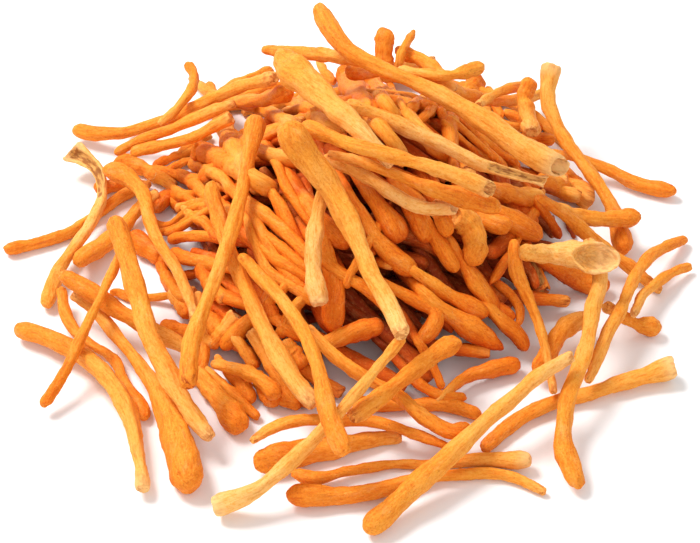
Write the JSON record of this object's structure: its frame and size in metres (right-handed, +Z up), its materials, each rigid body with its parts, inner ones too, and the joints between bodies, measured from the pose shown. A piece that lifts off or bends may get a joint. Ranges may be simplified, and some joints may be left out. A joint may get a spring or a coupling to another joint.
{
  "type": "cordyceps bunch",
  "caption": "Loose heap of dried orange cordyceps fruiting bodies: slender, slightly bent stalks with swollen club ends, lying criss-cross on a flat surface.",
  "frame": {"origin": "middle of the underside of the heap's bounding box, on the surface that it lies on", "axes": "+Z up, -Y towards the side that the picture shows, +X to the right in the picture"},
  "size_m": [0.15, 0.1526, 0.0479],
  "materials": {
    "stalk": "dry matt fungus skin, finely wrinkled",
    "pale_stalk": "dry matt fungus skin, pale, fibrous along the stem",
    "inner_stalks": "dry matt fungus skin, in shade"
  },
  "bodies": {
    "root": {"stalk_back_floor_left": "stalk", "stalk_back_floor_right": "stalk", "stalk_back_slope_left": "stalk", "stalk_back_slope_mid": "stalk", "stalk_back_slope_right": "stalk", "stalk_back_left_arm": "stalk", "stalk_back_left_curl": "stalk", "stalk_back_left_second": "stalk", "stalk_back_left_third": "stalk", "stalk_back_arc": "stalk", "stalk_back_upright": "stalk", "stalk_back_thin": "stalk", "stalk_back_knobbed": "stalk", "stalk_back_right_arch": "stalk", "stalk_back_right_club": "stalk", "stalk_right_back_arm": "stalk", "stalk_right_back_long": "stalk", "stalk_right_level_club": "stalk", "stalk_right_slanting": "stalk", "stalk_left_far_arm": "stalk", "stalk_left_forked": "pale_stalk", "stalk_left_low_club": "stalk", "stalk_left_twisted": "stalk", "stalk_front_left_long": "stalk", "stalk_front_big_club": "stalk", "stalk_left_flat": "stalk", "stalk_left_curved_club": "stalk", "stalk_left_thin": "stalk", "stalk_left_long_club": "stalk", "stalk_low_left_club": "stalk", "stalk_low_left_finger": "stalk", "stalk_front_flat_club": "stalk", "stalk_front_horn": "stalk", "stalk_right_low_long": "stalk", "stalk_front_wavy_upper": "stalk", "stalk_front_wavy_lower": "stalk", "stalk_front_right_down": "stalk", "stalk_right_arc": "stalk", "stalk_right_upright": "stalk", "stalk_right_knob": "stalk", "stalk_right_short": "stalk", "stalk_right_second_bend": "stalk", "stalk_right_big_bend": "stalk", "stalk_front_lower_long": "stalk", "stalk_right_cup": "pale_stalk", "stalk_front_cross": "stalk", "stalk_front_long_pale": "pale_stalk", "stalk_centre_left_long": "stalk", "stalk_centre_thin_long": "stalk", "stalk_leaning_long": "stalk", "stalk_centre_pale_long": "pale_stalk", "stalk_upper_club": "stalk", "stalk_centre_pale_short": "pale_stalk", "stalk_upper_pale_long": "pale_stalk", "stalk_top_left_bar": "stalk", "stalk_top_big_club": "stalk", "stalk_upper_torn_long": "stalk", "stalk_centre_big_club": "stalk", "stalk_top_tall_club": "stalk", "inner_stalks": "inner_stalks"}
  },
  "joints": []
}
